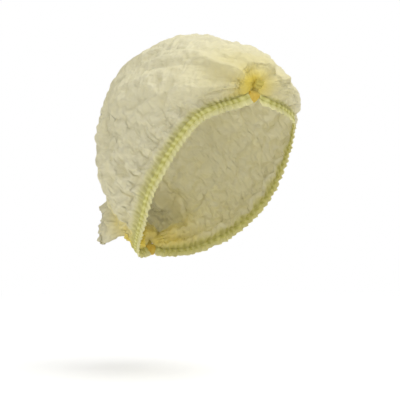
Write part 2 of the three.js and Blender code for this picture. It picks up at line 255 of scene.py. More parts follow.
# Its grid, the crimps across it, the pleat edges on its faces, and where its stub and its neck lie
SEAL_GRID = dict(rows=90, around=64, roundness=0.35)
SEAL_CRIMP = dict(height=0.20, pitch=1.7, start=-3, side_share=0.5)
SEAL_PLEATS = dict(height=0.16, pitch=0.95, flat=0.9)
SEAL_STUB = (-1, 7)
SEAL_NECK = dict(rise=3.2, reach=2.2)

# Colours, linear
PALE = (0.87, 0.84, 0.67)
CREAM = (0.86, 0.82, 0.58)
LEMON = (0.86, 0.79, 0.40)
YELLOW = (0.90, 0.78, 0.19)
# Yellow of the many gathered layers at the elastic, darkened with painted shade of the gathers
ELASTIC_YELLOW_AND_SHADE = (0.74, 0.71, 0.30)
# Painted shade: olive put into the troughs of the ribs at the elastic
TROUGH_SHADE_OLIVE = (0.52, 0.49, 0.13)
HEM = (0.82, 0.79, 0.48)
STUB_GOLD = (0.66, 0.56, 0.13)
TIP_AMBER = (0.70, 0.47, 0.06)
NECK_BROWN = (0.40, 0.32, 0.07)
FLOOR_GREY = (0.86, 0.86, 0.85)
WHITE = (1, 1, 1)

# Yellowed places: which end, -1 for the front, the place's middle from that seal, and its reach each way
YELLOWED = dict(
    seal=[(-1, (-7, 0, 6), (22, 24, 15)), (1, (-16, -20, 10), (46, 31, 29))],
    seal_tint=[(-1, (-12, 0, 11), (44, 52, 32)), (1, (-10, -20, 14), (60, 36, 50))],
)
# Where the elastic's yellow and its painted shade start on the crown, in abs(v)
ELASTIC_SHADE_TINT_START = 0.94

# Mottles: bumps a metre, detail, the noise's low and high, and what they become
MOTTLES = dict(
    clouds=(120, 4, 0.35, 0.65, 0.0, 0.3),
    patches=(60, 3, 0.3, 0.7, 0.8, 1.2),
    seal=(300, 3, 0.3, 0.7, 0.0, 0.5),
)
# Shares of the tints, the elastic one partly painted shade and the trough one painted shade, and the ranges
# over which yellow, the ribs' crests out of their painted shade and the free edge's colour set in
CROWN_TINTS = dict(seal_tint=0.75, elastic=0.75, trough_shade=0.45)
YELLOW_RANGE, RIB_SHADE_RANGE, HEM_RANGE = (0.1, 0.85), (-1, 0.8), (0, 0.7)
NECK_SHARE = 0.7
# Creases in the relief: patches a metre, wander, depth in millimetres and strength
CROWN_CREASES = [(50, 0.35, 3.2, 0.6), (115, 0.3, 1.3, 0.7)]
CREASE_BEND = dict(scale=0.6, detail=2, reach=4)
CREASE_STRETCH = (0.8, 0.8, 1.7)
DIMPLES = dict(pitch=1.8, uneven=0.12, low=0.12, high=0.38, depth=0.12, strength=0.4)
# Finish of each cloth: bumps of its grain a metre, their unevenness, depth in millimetres and strength, then
# the cloth's roughness and the share of the light that goes through it
FINISHES = dict(
    crown_cloth=dict(grain=900, uneven=0.7, depth=0.15, strength=0.35, roughness=0.75, through=0.48),
    elastic_band=dict(grain=700, uneven=0.7, depth=0.25, strength=0.5, roughness=0.8, through=0.2),
    frill_cloth=dict(grain=800, uneven=0.7, depth=0.2, strength=0.4, roughness=0.8, through=0.4),
    welded_seal=dict(grain=500, uneven=0.6, depth=0.3, strength=0.5, roughness=0.5, through=0.25),
)
SHEEN = 0.25
# Sockets of a Mix node that hold its two colours, and its coloured result
MIX_FIRST, MIX_SECOND, MIX_RESULT = 6, 7, 2

# Studio, in metres and watts
CAMERA = dict(azimuth=-38, distance=1.2, lens=113.7, sensor=36, target=(-0.00225, 0.00176, -0.0242))
KEY_LIGHT = dict(place=(0.3, -0.7, 1.8), size=2.2, power=39)
FILL_LIGHT = dict(place=(-1.7, 0.2, 0.5), size=1.6, power=5)
SURROUNDINGS = 0.49
FLOOR_HEIGHT, FLOOR_RADIUS, FLOOR_CORNERS = -0.192, 3.0, 96
FLOOR_LOOK = dict(roughness=0.9, glow=0.26, spread=0.9, fade=0.6)


def smooth_step(start, end, x):
    """0 before start and 1 after end, with a cubic between them."""
    part = np.clip((x - start) / (end - start), 0, 1)
    return part * part * (3 - 2 * part)


def within(x, start, full, fade, end):
    """1 from full to fade, and 0 before start and after end."""
    return smooth_step(start, full, x) * (1 - smooth_step(fade, end, x))


def hump(x, reach):
    """Bell of height 1 at x = 0 that fades over about one reach."""
    return np.exp(-((x / reach) ** 2))


def fold_wave(x):
    """Triangular wave from -1 to 1 with one sharp fold for each whole number of x."""
    return 1 - 4 * np.abs(x % 1 - 0.5)


def crests(noise):
    """Sharp crests where the noise crosses 0, and hollows where it is far from 0."""
    return CREST_HEIGHT - CREST_SLOPE * np.abs(noise)


def lattice_noise(u, w, cells_u, cells_w, seed):
    """Smooth noise from -1 to 1: random values on a lattice, blended by a cubic step in both directions."""
    values = np.random.default_rng(seed).uniform(-1, 1, (int(cells_u) + 2, int(cells_w) + 2))
    x, y = np.clip(u, 0, 1) * int(cells_u), np.clip(w, 0, 1) * int(cells_w)
    i, j = x.astype(int), y.astype(int)
    part_x, part_y = smooth_step(0, 1, x - i), smooth_step(0, 1, y - j)
    near = values[i, j] * (1 - part_x) + values[i + 1, j] * part_x
    far = values[i, j + 1] * (1 - part_x) + values[i + 1, j + 1] * part_x
    return near * (1 - part_y) + far * part_y


def turned_noise(u, w, cells_u, cells_w, turn, seed):
    """Noise whose lattice is turned in the u, w plane, so that long cells give slanting streaks."""
    angle = np.radians(turn)
    turned_u = 0.5 + ((u - 0.5) * np.cos(angle) + (w - 0.5) * np.sin(angle)) * TURNED_SHRINK
    turned_w = 0.5 + ((w - 0.5) * np.cos(angle) - (u - 0.5) * np.sin(angle)) * TURNED_SHRINK
    return lattice_noise(turned_u, turned_w, cells_u, cells_w, seed)


def hermite(a, b, slope_a, slope_b, part, step):
    """Cubic from a to b over a step, with the slopes at both ends."""
    rest = 1 - part
    ends = a * (1 + 2 * part) * rest**2 + b * part**2 * (1 + 2 * rest)
    return ends + step * part * rest * (slope_a * rest - slope_b * part)


def monotone_curve(xs, ys):
    """Cubic through the points (xs, ys) that never swings past them, by weighted harmonic means of slopes."""
    steps = np.diff(xs)
    slopes = np.diff(ys) / steps
    before, after = slopes[:-1], slopes[1:]
    same_way = before * after > 0
    weight_before = 2 * steps[1:] + steps[:-1]
    weight_after = steps[1:] + 2 * steps[:-1]
    safe_before, safe_after = np.where(same_way, before, 1), np.where(same_way, after, 1)
    inner = (weight_before + weight_after) / (weight_before / safe_before + weight_after / safe_after)
    tangents = np.concatenate([slopes[:1], np.where(same_way, inner, 0), slopes[-1:]])

    def at(x):
        """Height of the cubic at x."""
        i = np.clip(np.searchsorted(xs, x, side="left") - 1, 0, len(xs) - 2)
        return hermite(ys[i], ys[i + 1], tangents[i], tangents[i + 1], (x - xs[i]) / steps[i], steps[i])

    return at


SECTION_CURVES = {name: monotone_curve(SECTIONS["t"], SECTIONS[name]) for name in SECTIONS.dtype.names[1:]}


def smooth_crown(t, v):
    """Crown before its folds: each section is almost an ellipse through its top, widest line and elastic."""
    line = {name: curve(t) for name, curve in SECTION_CURVES.items()}
    edge_angle = np.pi - np.arcsin(np.minimum(line["edge_x"] / line["side_x"], EDGE_TO_SIDE_LIMIT))
    angle = np.abs(v) * edge_angle
    quarter = np.pi / 2
    lean = np.abs(np.cos(edge_angle))
    upper = np.clip(angle / quarter, 0, 1)
    lower = np.clip((angle - quarter) / (edge_angle - quarter), 0, 1)

    def through(top, side, edge):
        """Cubic from the top over the widest line to the elastic."""
        side_slope = ((side - top) + (edge - side) / lean) / 2
        edge_slope = (edge - side) * np.sin(edge_angle) / lean
        above = hermite(top, side, 0, side_slope, upper, quarter)
        below = hermite(side, edge, side_slope, edge_slope, lower, edge_angle - quarter)
        return np.where(angle < quarter, above, below)

    return np.stack([
        np.sign(v) * line["side_x"] * np.sin(angle),
        through(line["top_y"], line["side_y"], line["edge_y"]),
        through(line["top_z"], line["side_z"], line["edge_z"]),
    ], axis=-1)


def unit(vectors):
    """Vectors brought to length 1."""
    return vectors / np.linalg.norm(vectors, axis=-1, keepdims=True)


def crown_outward(t, v):
    """Outward normal of the smooth crown: the cross product of its slopes along v and t."""
    along_t = smooth_crown(t + SLOPE_STEP, v) - smooth_crown(t - SLOPE_STEP, v)
    along_v = smooth_crown(t, v + SLOPE_STEP) - smooth_crown(t, v - SLOPE_STEP)
    return unit(np.cross(along_v, along_t))


def fold_relief(folds, t, v):
    """Sum of a table's folds, each a bell that is turned in the t, v plane."""
    total = np.zeros_like(t + v)
    for fold in folds:
        angle = np.radians(fold["turn"])
        step_t, step_v = t - fold["t"], (v - fold["v"]) / 2
        along = step_t * np.cos(angle) + step_v * np.sin(angle)
        across = step_v * np.cos(angle) - step_t * np.sin(angle)
        bell = hump(along, fold["half_length"]) * hump(across, fold["half_width"] / 2)
        total = total + fold["height"] * bell
    return total


def fan_relief(fan, t, v):
    """Pleats that run out of a seal: a cosine across v, faded along t."""
    return -fan["height"] * hump(t - fan["centre"], fan["reach"]) * np.cos(FAN_PLEATS * np.pi * v)


def gather_relief(t, v):
    """Large gathers above the elastic: a sine along t, between two fades across v."""
    zone = GATHER_ZONE
    across = within(np.abs(v), zone["rise"], zone["full"], zone["sink"], 1)
    along = within(t, zone["start"], zone["deep"], zone["fade"], zone["end"])
    return GATHER_HEIGHT * across * along * np.sin(2 * np.pi * GATHER_COUNT * t)


def tuft_share(t, v):
    """1 on the tuft, fading to 0 above, below and beside it."""
    share = within(t, TUFT["top"], TUFT["full"], TUFT["low"], TUFT["end"])
    return share * (1 - smooth_step(TUFT["flat"], TUFT["side"], np.abs(v)))


def tuft_offset(t, v):
    """Push of the tuft outward and back, with a pointed corner at each side of its lower end."""
    share = tuft_share(t, v)
    spread = np.clip(v / TUFT["flat"], -1, 1)
    sweep = TUFT_PUSH["sweep"] * smooth_step(TUFT["full"], TUFT["low"], t)
    corner = hump(t - TUFT_CORNER["t"], TUFT_CORNER["reach_t"])
    corner = corner * hump(np.abs(v) - TUFT_CORNER["v"], TUFT_CORNER["reach_v"])
    out = TUFT_PUSH["out"] * spread * share + TUFT_CORNER["out"] * np.sign(v) * corner
    back = (TUFT_PUSH["back"] + sweep) * share + TUFT_CORNER["back"] * corner
    return np.stack([out, back, -TUFT_CORNER["drop"] * corner], axis=-1)


def folded_crown(t, v):
    """Outer surface of the crown with its large folds, as in the solid model."""
    fade = within(t, 0, FOLD_FADE["front"], FOLD_FADE["back"], 1)
    fade = fade * (1 - smooth_step(FOLD_FADE["elastic"], 1, np.abs(v)))
    fans = fan_relief(FRONT_FAN, t, v) + fan_relief(BACK_FAN, t, v)
    crease = -TUFT_CREASE["depth"] * (1 - smooth_step(TUFT["flat"], 1, np.abs(v)))
    crease = crease * hump(t - TUFT_CREASE["t"], TUFT_CREASE["reach"])
    relief = fade * (fold_relief(FOLDS, t, v) + fans + crease) + gather_relief(t, v)
    return smooth_crown(t, v) + crown_outward(t, v) * relief[..., None] + tuft_offset(t, v)


def edge_frame(side, t):
    """Point, way down off the crown, way outward from the round form, and way along one elastic edge."""
    point = smooth_crown(t, side)
    along = unit(smooth_crown(t + SLOPE_STEP, side) - smooth_crown(t - SLOPE_STEP, side))
    outward = (point - ROUND_FORM_CENTRE) / ROUND_FORM_HALF**2
    outward = unit(outward - along * np.sum(outward * along, axis=-1, keepdims=True))
    return point, np.cross(along, outward) * side, outward, along


def rib_phase(t):
    """Turn of the short ribs along an elastic edge, in radians: even, with a slow wander."""
    wander = lattice_noise(t, 0 * t, *NOISES["rib_wander"])
    return 2 * np.pi * (RIBS * t + RIB_WANDER * wander)


def crown_grid(level):
    """t and v of the crown's grid at a level of fineness. v is closer spaced towards the elastic."""
    t, s = np.meshgrid(
        np.linspace(0, 1, COARSE_ROWS * 2**level + 1),
        np.linspace(-1, 1, COARSE_COLUMNS * 2**level + 1),
        indexing="ij",
    )
    return t, s * (GRID_CROWDING["middle"] - GRID_CROWDING["edge"] * s**2)


def finer(grid):
    """Grid of twice the steps both ways: new points lie on a cubic through their four neighbours."""
    def along_first(rows):
        """Twice the steps along the first direction."""
        ends = np.concatenate([2 * rows[:1] - rows[1:2], rows, 2 * rows[-1:] - rows[-2:-1]])
        out = np.empty((2 * len(rows) - 1,) + rows.shape[1:])
        out[::2] = rows
        out[1::2] = (9 * (ends[1:-2] + ends[2:-1]) - ends[:-3] - ends[3:]) / 16
        return out

    return np.swapaxes(along_first(np.swapaxes(along_first(grid), 0, 1)), 0, 1)


def thread_ends(grid, way, start):
    """Views of both ends of every second row's threads that run one way, so that none shares a point."""
    if way == "across":
        return tuple(np.swapaxes(end, 0, 1) for end in thread_ends(np.swapaxes(grid, 0, 1), "along", start))
    past = start + 2 * ((len(grid) - start) // 2)
    first, second = grid[start:past:2], grid[start + 1:past:2]
    if way == "rising":
        return first[:, :-1], second[:, 1:]
    if way == "falling":
        return first[:, 1:], second[:, :-1]
    return first, second


def crumple(shape, start, spare, free, look):
    """Lets a net of threads buckle. Each thread is longer than in shape by its spare share, and is pulled to
    its length in turn; in each round the steps away from shape are smoothed and drawn back a little."""
    lengths = []
    for way, parity in THREADS:
        a, b = thread_ends(shape, way, parity)
        lengths.append(np.linalg.norm(b - a, axis=-1) * (1 + thread_ends(spare[way], way, parity)[0]))
    points = start.copy()
    for _ in range(int(look["rounds"])):
        for (way, parity), rest in zip(THREADS, lengths):
            a, b = thread_ends(points, way, parity)
            free_a, free_b = thread_ends(free, way, parity)
            gap = b - a
            pull = (1 - rest / np.linalg.norm(gap, axis=-1)) / np.maximum(free_a + free_b, LEAST_FREE)
            a += gap * (pull * free_a)[..., None]
            b -= gap * (pull * free_b)[..., None]
        away = points - shape
        mean = away.copy()
        mean[1:-1] += (away[2:] + away[:-2]) / 2 - away[1:-1]
        mean[:, 1:-1] += (away[:, 2:] + away[:, :-2]) / 2 - away[:, 1:-1]
        away += look["smoothing"] * (mean - away)
        points = shape + away * (1 - look["hold"] * free[..., None])
    return points


def puff_calm(t, v):
    """1 over most of the crown, and low on the two smooth puffs beside the front."""
    near = hump(t - PUFF["t"], PUFF["reach_t"]) * hump(np.abs(v) - PUFF["v"], PUFF["reach_v"])
    return 1 - PUFF["calm"] * near


def first_heights(t, v, level):
    """Heights that a level's folds grow from: crests all over, streaks along t over the top and slanting ones
    at the sides, a fan of streaks out of the front seal, and rucks on the tuft."""
    look, share, seeds, w = LEVELS[level], FIRST_HEIGHTS, FIRST_SEEDS, (v + 1) / 2
    cells_t, cells_v = look["cells_t"], look["cells_v"]
    side = smooth_step(*share["side"], np.abs(v))
    crumpled = crests(lattice_noise(t, w, cells_t, cells_v, seeds["crests"] + level))
    streaks = turned_noise(t, w, cells_t // 2, cells_v * 2, share["streak_turn"], seeds["streaks"] + level)
    streaks = streaks * (1 - share["streaks_less_at_side"] * side)
    slant_cells = cells_t * share["slants_finer"], cells_v // 2
    slants = [
        turned_noise(t, np.abs(v) / 2, *slant_cells, share["slant_turn"], seed + level)
        for seed in seeds["slants"]
    ]
    slanting = share["slants"] * side * np.where(v < 0, *slants)
    fan = lattice_noise(t, w, *FAN_CELLS, seeds["fan"] + level) * within(t, *share["fan"])
    ruck_cells = [cells * 2**level for cells in RUCK_CELLS]
    rucks = lattice_noise(t, w, *ruck_cells, seeds["rucks"] + level) * within(t, *share["tuft"])
    crest_share = share["crests"] - share["crests_less_at_side"] * side
    heights = crest_share * crumpled + streaks + slanting + fan + share["rucks"] * rucks
    return heights * puff_calm(t, v)


def pleat_relief(t, v):
    """Pleat lines along the cloth: a triangular wave across it, in patches over its front, and deep near the
    seals, where they draw together. Each is four columns of the finest grid wide."""
    look, w = PLEAT_LINES, (v + 1) / 2
    columns = np.linspace(0, 1, t.shape[1])[None, :]
    lines = fold_wave(PLEATS * columns + look["wander"] * lattice_noise(t, w, *NOISES["pleat_wander"]))
    patches = smooth_step(*look["patches"], lattice_noise(t, w, *NOISES["pleat_patches"]))
    patches = patches * (look["all_over"] + within(t, *look["front"]))
    fan = look["front_share"] * within(t, *look["front_fan"])
    fan = fan + look["back_share"] * within(t, *look["back_fan"])
    even = 1 - smooth_step(*look["even"], np.abs(v))
    return lines * even * (PLEAT_HEIGHT * patches + FAN_PLEAT_HEIGHT * fan) * puff_calm(t, v)


def tuft_look(t, v):
    """Step from the solid model's tuft to the one that shows: drawn in, its top lower, rucked and pointed."""
    share = tuft_share(t, v)
    spread = np.clip(v / TUFT["flat"], -1, 1)
    upper = 1 - smooth_step(*TUFT_DRAWN_IN["top"], t)
    rucks = fold_wave(RUCKS * t + RUCK_WANDER * lattice_noise(t, (v + 1) / 2, *NOISES["rucks"]))
    point = hump(t - TUFT_POINT["t"], TUFT_POINT["reach_t"])
    point = point * hump(np.abs(v) - TUFT_POINT["v"], TUFT_POINT["reach_v"])
    out = spread * share * (RUCK_HEIGHT * rucks - TUFT_DRAWN_IN["out"])
    back = share * (RUCK_HEIGHT * rucks - TUFT_DRAWN_IN["back"]) + TUFT_POINT["back"] * point
    down = TUFT_DRAWN_IN["top_drop"] * share * upper + TUFT_POINT["drop"] * point
    return np.stack([out, back, -down], axis=-1)


def pulled_aside(points):
    """Points with those near the front seal moved to the right side, fading with their distance from it."""
    away = np.linalg.norm(points - [0, -SEAL_REACH, SEAL_RISE], axis=-1)
    moved = points.copy()
    moved[..., 0] -= PULLED_ASIDE["shift"] * hump(away, PULLED_ASIDE["reach"])
    return moved


def crumpled_crown():
    """t, v and points of the crown's grid, drawn in, crumpled at each level and ribbed at the elastics."""
    points, zones = None, CRUMPLE_ZONES
    for level, look in enumerate(LEVELS):
        t, v = crown_grid(level)
        outward = crown_outward(t, v)
        free = within(t, *zones["ends"]) * (1 - smooth_step(*zones["edge"], np.abs(v)))
        if points is None:
            shape = folded_crown(t, v) - outward * (DRAWN_IN * free)[..., None]
        else:
            shape = finer(points)
        if level == CREASE_LEVEL:
            shape = shape + outward * fold_relief(CREASES, t, v)[..., None]
        side = smooth_step(*zones["side"], np.abs(v))
        low = smooth_step(*zones["low"], np.abs(v)) * within(t, *zones["low_along"])
        across = look["spare_top"] + (look["spare_side"] - look["spare_top"]) * side
        across = (across + TUFT_SPARE * smooth_step(*zones["tuft"], t)) * puff_calm(t, v)
        along = across * (1 + LOW_SPARE * low)
        spare = dict(along=along, across=across, rising=(along + across) / 2, falling=(along + across) / 2)
        start = shape + outward * (first_heights(t, v, level) * look["height"] * free)[..., None]
        points = crumple(shape, start, spare, free, look)
    relief = pleat_relief(t, v) + RIB_HEIGHT * rib_share(t, v) * np.sin(rib_phase(t))
    return t, v, points + tuft_look(t, v) + outward * relief[..., None]


def rib_share(t, v):
    """How strongly the short ribs show: fully at the elastic, and over an uneven length above it."""
    start = RIB_ZONE["start"] + RIB_ZONE["wander"] * lattice_noise(t, 0 * t, *NOISES["rib_start"])
    return smooth_step(0, 1, (np.abs(v) - start) / (RIB_ZONE["full"] - start)) * within(t, *RIB_ZONE["ends"])


def closed_in(t, v, points):
    """Grid with a column tucked under each elastic and a row drawn to one point at each seal."""
    tucked = []
    for side in (-1, 1):
        point, down, outward, _ = edge_frame(side, t[:, 0])
        tucked.append((point + down * TUCK["down"] - outward * TUCK["inward"])[:, None])
    points = np.concatenate([tucked[0], points, tucked[1]], axis=1)
    pad = np.ones((len(t), 1))
    v = np.concatenate([-pad, v, pad], axis=1)
    poles = [np.repeat(row.mean(axis=0)[None, None], points.shape[1], axis=1) for row in points[[0, -1]]]
    return np.concatenate([v[:1], v, v[-1:]]), np.concatenate([poles[0], points, poles[1]])


def grid_mesh(name, points, uv=None, closed=False, values=None):
    """Mesh of quads through a grid of points in millimetres, closed round and at its ends if asked."""
    rows, columns = points.shape[:2]
    index = np.arange(rows * columns).reshape(rows, columns)
    ends = [index[0].tolist(), index[-1, ::-1].tolist()] if closed else []
    if closed:
        index = np.concatenate([index, index[:, :1]], axis=1)
    quads = np.stack([index[:-1, :-1], index[:-1, 1:], index[1:, 1:], index[1:, :-1]], axis=-1).reshape(-1, 4)
    mesh = bpy.data.meshes.new(name)
    mesh.from_pydata((pulled_aside(points).reshape(-1, 3) * MM).tolist(), [], quads.tolist() + ends)
    mesh.polygons.foreach_set("use_smooth", np.ones(len(quads) + len(ends), bool))
    if uv is not None:
        layer = mesh.uv_layers.new(name="cloth")
        layer.data.foreach_set("uv", uv.reshape(-1, 2)[quads.ravel()].astype(np.float32).ravel())
    for key, data in (values or {}).items():
        attribute = mesh.attributes.new(key, "FLOAT", "POINT")
        attribute.data.foreach_set("value", data.astype(np.float32).ravel())
    mesh.update()
    obj = bpy.data.objects.new(name, mesh)
    bpy.context.scene.collection.objects.link(obj)
    return obj


def thicken(obj, thickness):
    """Gives a sheet its thickness inwards."""
    wall = obj.modifiers.new("wall", "SOLIDIFY")
    wall.thickness = thickness * MM
    wall.offset = -1
    return obj


def distance_along(points):
    """Length from the first point of a line to each of its points."""
    return np.concatenate([[0], np.cumsum(np.linalg.norm(np.diff(points, axis=0), axis=-1))])


def yellowed(points, spots):
    """How strongly each point is yellowed: the greatest of the bells about the spots."""
    bells = []
    for end, place, reach in spots:
        centre = np.add([0, end * SEAL_REACH, -end * SEAL_RISE], place)
        bells.append(hump(np.linalg.norm((points - centre) / reach, axis=-1), 1))
    return np.maximum(*bells)


def make_crown():
    """Crown's cloth, with its map in metres, how near the seals and the elastic each place is, and the painted
    shade in the troughs of the ribs.
    """
    t, v, points = crumpled_crown()
    # Painted shade: how deep each place lies in a trough of the short ribs at the elastic
    trough_shade_share = rib_share(t, v) * (0.5 - 0.5 * np.sin(rib_phase(t)))
    v, points = closed_in(t, v, points)
    along = distance_along(points[:, points.shape[1] // 2])
    across = distance_along(points[len(points) // 2])
    uv = np.stack(np.broadcast_arrays(across[None, :] * MM, along[:, None] * MM), axis=-1)
    values = {name: yellowed(points, spots) for name, spots in YELLOWED.items()}
    # Nearness to the elastic, which takes its yellow and the painted shade of its gathers
    values["elastic"] = smooth_step(ELASTIC_SHADE_TINT_START, 1, np.abs(v))
    values["trough_shade"] = np.pad(trough_shade_share, 1, mode="edge")
    return thicken(grid_mesh("crown_cloth", points, uv, values=values), CLOTH_THICKNESS)


def make_band(side, name):
    """Elastic edge: an oval profile carried along the edge, with slanting ribs and an uneven width."""
    t = np.linspace(BAND["margin"], 1 - BAND["margin"], BAND["steps"])
    point, down, outward, _ = edge_frame(side, t)
    turn = np.linspace(0, 2 * np.pi, BAND["around"], endpoint=False)[None, :]
    slant = rib_phase(t)[:, None] + BAND_RIBS["slant"] * np.cos(turn)
    uneven = lattice_noise(t, 0 * t, *NOISES["band"])[:, None]
    rib = np.sin(slant) * (BAND_RIBS["least"] + BAND_RIBS["uneven"] * uneven)
    half_width = (BAND_WIDTH / 2) * (1 + BAND_RIBS["swell"] * uneven)
    down_step = GAP + BAND_WIDTH / 2 + half_width * np.cos(turn)
    out_step = -BAND["inward"] + (BAND_THICKNESS / 2) * np.sin(turn) + BAND_RIBS["height"] * rib
    points = point[:, None] + down[:, None] * down_step[..., None] + outward[:, None] * out_step[..., None]
    if side > 0:
        points, rib = points[:, ::-1], rib[:, ::-1]
    return grid_mesh(name, points, closed=True, values={"rib": rib})


def make_frill(side, name):
    """Ruffled hem: a strip that swings in and out with the ribs, more so towards its uneven free edge."""
    t = np.linspace(FRILL_GRID["margin"], 1 - FRILL_GRID["margin"], FRILL_GRID["steps"])
    point, down, outward, along = edge_frame(side, t)
    width = np.linspace(0, 1, FRILL_GRID["across"])[None, :]
    phase = rib_phase(t)[:, None]
    uneven, slow = (lattice_noise(t, 0 * t, *NOISES[key])[:, None] for key in ("hem", "hem_slow"))
    flare = FRILL_FLARE["start"] + FRILL_FLARE["gain"] * width
    look = FRILL_SWING
    first = (look["least"] + look["uneven"] * uneven) * np.sin(phase + look["drift"] * uneven)
    swing = flare * (first + look["second"] * np.sin(2 * phase + look["second_turn"]))
    swing = swing + look["slow"] * slow * width**2 - look["inward"]
    slip = FRILL_SLIP["height"] * flare * np.cos(phase + FRILL_SLIP["turn"])
    reach = 1 + FRILL_WIDTH["uneven"] * uneven + FRILL_WIDTH["slow"] * slow
    overlap = FRILL_WIDTH["overlap"]
    length = GAP + BAND_WIDTH - overlap + (HEM_WIDTH + overlap) * width * reach
    points = point[:, None] + down[:, None] * length[..., None]
    points = points + outward[:, None] * swing[..., None] + along[:, None] * slip[..., None]
    width = width * np.ones_like(phase)
    if side < 0:
        points, width = points[:, ::-1], width[:, ::-1]
    return thicken(grid_mesh(name, points, values={"width": width}), HEM_THICKNESS)


def make_seal(end, lean, tilt, name):
    """Welded stack of pleats: a rounded rectangle carried up its rows, with crimped faces and pleat edges."""
    rise = np.linspace(SEAL_ROWS["rise"][0], SEAL_ROWS["rise"][-1], SEAL_GRID["rows"])
    half_width, front, back = (
        monotone_curve(SEAL_ROWS["rise"], SEAL_ROWS[column])(rise)[:, None]
        for column in ("half_width", "front", "back")
    )
    turn = np.linspace(0, 2 * np.pi, SEAL_GRID["around"], endpoint=False)[None, :]
    x, y = (np.sign(wave) * np.abs(wave) ** SEAL_GRID["roundness"] for wave in (np.cos(turn), np.sin(turn)))
    crimp = SEAL_CRIMP["height"] * np.sin(2 * np.pi * rise / SEAL_CRIMP["pitch"])[:, None]
    crimp = crimp * smooth_step(SEAL_CRIMP["start"], 0, rise)[:, None]
    pleats = SEAL_PLEATS["height"] * np.sin(2 * np.pi * x * half_width / SEAL_PLEATS["pitch"])
    pleats = pleats * (np.abs(y) > SEAL_PLEATS["flat"])
    out_x = (half_width + SEAL_CRIMP["side_share"] * crimp) * x
    out_y = (back - front) / 2 + ((back + front) / 2 + (crimp + pleats) * np.abs(y)) * y
    local = np.stack([out_x, out_y, rise[:, None] * np.ones_like(x)], axis=-1)
    half_turn = np.pi if end > 0 else 0
    matrix = Matrix.Rotation(half_turn, 3, "Z") @ Matrix.Rotation(np.radians(lean), 3, "X")
    matrix = np.array(Matrix.Rotation(np.radians(-tilt), 3, "Y") @ matrix)
    points = local @ matrix.T + [0, end * SEAL_REACH, -end * SEAL_RISE]
    rows = {"stub": smooth_step(*SEAL_STUB, rise), "neck": hump(rise - SEAL_NECK["rise"], SEAL_NECK["reach"])}
    values = {key: row[:, None] * np.ones_like(x) for key, row in rows.items()}
    return grid_mesh(name, points, closed=True, values=values)


